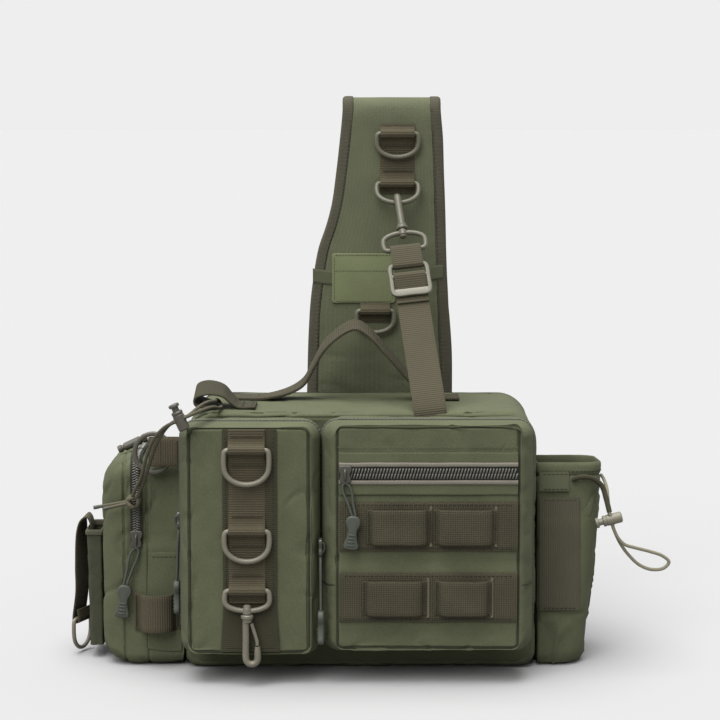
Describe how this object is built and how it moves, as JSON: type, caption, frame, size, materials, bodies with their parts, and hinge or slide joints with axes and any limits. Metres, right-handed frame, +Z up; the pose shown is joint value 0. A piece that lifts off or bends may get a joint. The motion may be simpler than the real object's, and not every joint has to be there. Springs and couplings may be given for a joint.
{
  "type": "fishing tackle sling bag",
  "caption": "Padded one-strap fishing tackle bag with zipped front and end pockets, an open bottle pocket, webbing loops, rod keepers, rings and a clip-on load strap.",
  "frame": {"origin": "middle of the main body's flat bottom", "axes": "+X to the wearer-side left as seen from the front (the bottle pocket end), +Y towards the wearer's back panel, +Z up"},
  "size_m": [0.4651, 0.235, 0.436],
  "materials": {
    "cloth": "matte woven polyester",
    "lining": "matte woven polyester",
    "patch": "matte hook-and-loop pile",
    "webbing": "ribbed matte webbing",
    "metal": "matte antique plating",
    "rubber": "matte",
    "zipper": "woven tape with coil teeth",
    "pale_cord": "braided elastic",
    "dark_cord": "braided elastic",
    "pale_lock": "matte",
    "dark_lock": "matte"
  },
  "bodies": {
    "bag": {"main_body": "cloth", "back_panel": "cloth", "left_pocket": "cloth", "right_pocket": "cloth", "end_pocket": "cloth", "bottle_pocket": "cloth", "shoulder_strap": "cloth", "bottle_patch_lower": "webbing", "bottle_patch_upper": "webbing", "strap_tail": "webbing", "base_webbing": "webbing", "ladder_webbing": "webbing", "band_upper": "webbing", "band_lower": "webbing", "rod_loop_lower": "webbing", "rod_keeper_upper": "webbing", "rod_tab": "webbing", "plier_strap": "webbing", "strap_keeper_upper": "webbing", "strap_keeper_lower": "webbing", "buckle_web": "webbing", "load_strap": "webbing", "grab_handle": "webbing", "d_ring_2": "metal", "hook_bow_upper": "metal", "snap_hook_upper": "metal", "hook_gate_upper": "metal", "ladder_buckle": "metal", "plier_link": "metal", "zip_slider_front": "metal", "zip_slider_end": "metal", "zip_slider_left": "metal", "zip_slider_middle": "metal", "puller_cord_front": "rubber", "puller_cord_end": "rubber", "puller_cord_left": "rubber", "puller_cord_middle": "rubber", "puller_tab_front": "rubber", "puller_tab_end": "rubber", "puller_tab_left": "rubber", "puller_tab_middle": "rubber", "plier_sheath": "lining", "strap_patch": "patch", "front_zipper": "zipper", "rod_ring": "dark_lock", "rod_toggle": "dark_lock", "cord_lock_left": "dark_lock", "cord_lock_right": "pale_lock", "elastic_cord_left": "dark_cord", "cord_knot_left": "dark_cord", "elastic_cord_right": "pale_cord"},
    "ring_a": {"d_ring_a": "metal"},
    "ring_b": {"d_ring_b": "metal"},
    "ring_1": {"d_ring_1": "metal"},
    "ring_3": {"d_ring_3": "metal"},
    "bow": {"hook_bow_lower": "metal"},
    "hook": {"snap_hook_lower": "metal"},
    "gate": {"hook_gate_lower": "metal"},
    "plunger_left": {"lock_plunger_left": "dark_lock"},
    "plunger_right": {"lock_plunger_right": "pale_lock"}
  },
  "joints": [
    {"name": "ring_a_swing", "type": "hinge", "parent": "bag", "child": "ring_a", "pos_m": [-0.0835, -0.1111, 0.178], "axis": [-1, 0, 0], "range_deg": [0, 150]},
    {"name": "ring_b_swing", "type": "hinge", "parent": "bag", "child": "ring_b", "pos_m": [-0.0835, -0.1111, 0.1175], "axis": [-1, 0, 0], "range_deg": [0, 150]},
    {"name": "ring_1_swing", "type": "hinge", "parent": "bag", "child": "ring_1", "pos_m": [0.03, 0.0595, 0.4065], "axis": [-1, 0, 0], "range_deg": [0, 150]},
    {"name": "ring_3_swing", "type": "hinge", "parent": "bag", "child": "ring_3", "pos_m": [0.0123, 0.0595, 0.2645], "axis": [-1, 0, 0], "range_deg": [0, 150]},
    {"name": "bow_swing", "type": "hinge", "parent": "bag", "child": "bow", "pos_m": [-0.0835, -0.1111, 0.073], "axis": [-1, 0, 0], "range_deg": [0, 110]},
    {"name": "hook_swivel", "type": "hinge", "parent": "bow", "child": "hook", "pos_m": [-0.0835, -0.1111, 0.058], "axis": [0, 0, 1], "range_deg": [-180, 0]},
    {"name": "gate_hinge", "type": "hinge", "parent": "hook", "child": "gate", "pos_m": [-0.0799, -0.1111, 0.0472], "axis": [0, 1, 0], "range_deg": [0, 15], "stiffness_Nm_per_rad": 0.02},
    {"name": "plunger_left_push", "type": "slide", "parent": "bag", "child": "plunger_left", "axis": [0.4078, 0, -0.9131], "range_m": [0, 0.003], "stiffness_N_per_m": 400},
    {"name": "plunger_right_push", "type": "slide", "parent": "bag", "child": "plunger_right", "axis": [0.9666, 0, 0.2563], "range_m": [0, 0.003], "stiffness_N_per_m": 400}
  ]
}
